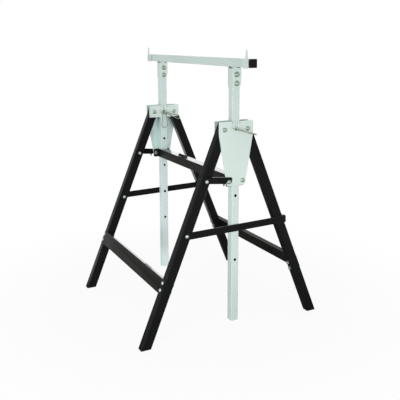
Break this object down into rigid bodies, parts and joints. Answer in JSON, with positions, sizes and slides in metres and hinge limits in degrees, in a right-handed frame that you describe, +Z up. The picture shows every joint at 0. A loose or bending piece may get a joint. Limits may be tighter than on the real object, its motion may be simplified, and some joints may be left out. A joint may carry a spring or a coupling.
{
  "type": "builders trestle",
  "caption": "Folding builders trestle: a square tube beam with end stops on two pinned uprights that lift out of a splayed four-legged stand.",
  "frame": {"origin": "on the floor, under the middle of the beam, centred between the feet", "axes": "+X along the beam towards the right end, +Y from the front legs to the rear legs, +Z up"},
  "size_m": [0.738, 0.6298, 0.8705],
  "materials": {
    "tube_zinc": "bright zinc plate",
    "plate_zinc": "bright zinc plate",
    "black_coat": "satin black powder coat",
    "plug_plastic": "moulded black",
    "bolt_zinc": "zinc plate",
    "spring_wire": "yellow-green passivated zinc"
  },
  "bodies": {
    "head": {"outer_plate_left": "plate_zinc", "outer_plate_right": "plate_zinc", "inner_plate_left": "plate_zinc", "inner_plate_right": "plate_zinc", "upper_rail": "black_coat", "leg_pivot_bolts": "bolt_zinc", "hook_studs": "bolt_zinc", "plate_bolts": "bolt_zinc"},
    "mast": {"beam": "tube_zinc", "beam_plug_left": "plug_plastic", "beam_plug_right": "plug_plastic", "saddle_left": "plate_zinc", "saddle_right": "plate_zinc", "upright_left": "tube_zinc", "upright_right": "tube_zinc", "saddle_bolts": "bolt_zinc", "stop_bolts": "bolt_zinc"},
    "front_frame": {"leg_front_left": "black_coat", "leg_front_right": "black_coat", "front_rail": "black_coat", "front_rail_bolts": "bolt_zinc", "link_bolts": "bolt_zinc", "link_spacers": "bolt_zinc", "stay_bolts": "bolt_zinc"},
    "rear_frame": {"leg_rear_left": "black_coat", "leg_rear_right": "black_coat", "rear_rail": "black_coat", "rear_rail_bolts": "bolt_zinc"},
    "link_left": {"latch_link_left": "black_coat"},
    "link_right": {"latch_link_right": "black_coat"},
    "stay_left": {"stay_left": "black_coat"},
    "stay_right": {"stay_right": "black_coat"},
    "stop_left": {"stop_left": "plate_zinc"},
    "stop_right": {"stop_right": "plate_zinc"},
    "pin_left": {"pin_left": "bolt_zinc", "keeper_ring": "spring_wire"},
    "pin_right": {"pin_right": "bolt_zinc"},
    "clip_left": {"clip_left": "spring_wire"},
    "clip_right": {"clip_right": "spring_wire"}
  },
  "joints": [
    {"name": "mast_height", "type": "slide", "parent": "head", "child": "mast", "axis": [0, 0, 1], "range_m": [0, 0.4068]},
    {"name": "front_fold", "type": "hinge", "parent": "head", "child": "front_frame", "pos_m": [0, -0.0395, 0.636], "axis": [1, 0, 0], "range_deg": [0, 18]},
    {"name": "rear_fold", "type": "hinge", "parent": "head", "child": "rear_frame", "pos_m": [0, 0.0395, 0.636], "axis": [-1, 0, 0], "range_deg": [0, 18]},
    {"name": "link_left_turn", "type": "hinge", "parent": "front_frame", "child": "link_left", "pos_m": [-0.264, -0.10039, 0.48663], "axis": [1, 0, 0], "range_deg": [0, 72]},
    {"name": "stay_left_lift", "type": "hinge", "parent": "front_frame", "child": "stay_left", "pos_m": [-0.264, -0.16486, 0.32847], "axis": [1, 0, 0], "range_deg": [0, 25]},
    {"name": "stop_left_fold", "type": "hinge", "parent": "mast", "child": "stop_left", "pos_m": [-0.356, 0, 0.8295], "axis": [0, 1, 0], "range_deg": [0, 90]},
    {"name": "pin_left_pull", "type": "slide", "parent": "mast", "child": "pin_left", "axis": [1, 0, 0], "range_m": [0, 0.06]},
    {"name": "clip_left_pull", "type": "slide", "parent": "pin_left", "child": "clip_left", "axis": [0, 0.9511, -0.309], "range_m": [0, 0.03]},
    {"name": "link_right_turn", "type": "hinge", "parent": "front_frame", "child": "link_right", "pos_m": [0.264, -0.10039, 0.48663], "axis": [1, 0, 0], "range_deg": [0, 72]},
    {"name": "stay_right_lift", "type": "hinge", "parent": "front_frame", "child": "stay_right", "pos_m": [0.264, -0.16486, 0.32847], "axis": [1, 0, 0], "range_deg": [0, 25]},
    {"name": "stop_right_fold", "type": "hinge", "parent": "mast", "child": "stop_right", "pos_m": [0.356, 0, 0.8295], "axis": [0, -1, 0], "range_deg": [0, 90]},
    {"name": "pin_right_pull", "type": "slide", "parent": "mast", "child": "pin_right", "axis": [1, 0, 0], "range_m": [0, 0.06]},
    {"name": "clip_right_pull", "type": "slide", "parent": "pin_right", "child": "clip_right", "axis": [0, 0.9511, -0.309], "range_m": [0, 0.03]}
  ],
  "couplings": [
    {"joint": "link_left_turn", "follows": "front_fold", "ratio": 4},
    {"joint": "link_right_turn", "follows": "front_fold", "ratio": 4}
  ]
}
